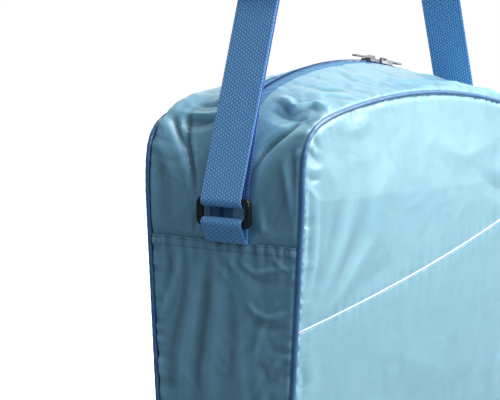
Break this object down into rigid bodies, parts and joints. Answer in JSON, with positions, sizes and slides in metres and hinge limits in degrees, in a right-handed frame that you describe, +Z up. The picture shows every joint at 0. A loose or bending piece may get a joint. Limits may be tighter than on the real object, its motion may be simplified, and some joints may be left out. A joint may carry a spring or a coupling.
{
  "type": "ski boot bag",
  "caption": "Soft zipped bag for a pair of ski boots, with piped seams, a slanted front seam and an adjustable webbing strap held up from rings at its ends.",
  "frame": {"origin": "centre of the footprint, on the surface the bag stands on", "axes": "+Z up, X along the bag's width with the strap's adjuster at -X, front panel facing -Y"},
  "size_m": [0.4244, 0.2172, 0.7105],
  "materials": {
    "coated_nylon": "thin coated nylon, soft sheen, crinkled",
    "panel_nylon": "thin coated nylon, soft sheen, pulled smoother",
    "corded_piping": "bias tape over filler cord, satin",
    "white_piping": "smooth white piping",
    "zip_tape": "woven polyester tape",
    "zip_coil": "moulded nylon coil",
    "slider_metal": "plated die casting",
    "strap_webbing": "coarse polypropylene webbing",
    "black_plastic": "moulded nylon, semi-gloss",
    "binding_tape": "folded woven binding",
    "base_sheet": "pressed plastic sheet"
  },
  "bodies": {
    "bag": {"top_gusset_front": "coated_nylon", "top_gusset_back": "coated_nylon", "lower_gusset": "coated_nylon", "front_panel_upper": "panel_nylon", "front_panel_lower": "panel_nylon", "back_panel": "panel_nylon", "front_piping": "corded_piping", "back_piping": "corded_piping", "contrast_piping": "white_piping", "seam_binding_front": "binding_tape", "seam_binding_back": "binding_tape", "base_board": "base_sheet", "zipper_tape_front": "zip_tape", "zipper_tape_back": "zip_tape", "zipper_coil_front": "zip_coil", "zipper_coil_back": "zip_coil", "webbing_loop_left": "strap_webbing", "webbing_loop_right": "strap_webbing", "strap_leg_left": "strap_webbing", "strap_return_left": "strap_webbing", "strap_leg_right": "strap_webbing", "strap_end_right": "strap_webbing"},
    "ring_left": {"ring_left": "black_plastic", "strap_wrap_left": "strap_webbing"},
    "ring_right": {"ring_right": "black_plastic", "strap_wrap_right": "strap_webbing"},
    "strap": {"strap_arch": "strap_webbing", "strap_return_upper": "strap_webbing"},
    "adjuster": {"strap_adjuster": "black_plastic", "strap_over_adjuster": "strap_webbing"},
    "slider_left": {"zipper_slider_left": "slider_metal"},
    "slider_right": {"zipper_slider_right": "slider_metal"},
    "tab_left": {"pull_tab_left": "slider_metal"},
    "tab_right": {"pull_tab_right": "slider_metal"}
  },
  "joints": [
    {"name": "ring_left_turn", "type": "hinge", "parent": "bag", "child": "ring_left", "pos_m": [-0.206, -0.011, 0.276], "axis": [0, -1, 0], "range_deg": [0, 35]},
    {"name": "ring_right_turn", "type": "hinge", "parent": "bag", "child": "ring_right", "pos_m": [0.206, -0.011, 0.276], "axis": [0, 1, 0], "range_deg": [0, 35]},
    {"name": "strap_fold", "type": "hinge", "parent": "bag", "child": "strap", "pos_m": [0, -0.011, 0.43], "axis": [1, 0, 0], "range_deg": [-75, 75]},
    {"name": "adjuster_slide", "type": "slide", "parent": "strap", "child": "adjuster", "axis": [0.284, 0, 0.9588], "range_m": [0, 0.06]},
    {"name": "slider_left_travel", "type": "hinge", "parent": "bag", "child": "slider_left", "pos_m": [0, 0, 0.046], "axis": [0, 1, 0], "range_deg": [-23, 0]},
    {"name": "slider_right_travel", "type": "hinge", "parent": "bag", "child": "slider_right", "pos_m": [0, 0, 0.046], "axis": [0, 1, 0], "range_deg": [0, 6.5]},
    {"name": "tab_left_flip", "type": "hinge", "parent": "slider_left", "child": "tab_left", "pos_m": [0.04356, 0, 0.42833], "axis": [0, 1, 0], "range_deg": [0, 100]},
    {"name": "tab_right_flip", "type": "hinge", "parent": "slider_right", "child": "tab_right", "pos_m": [0.06616, 0, 0.42507], "axis": [0, -1, 0], "range_deg": [0, 100]}
  ]
}
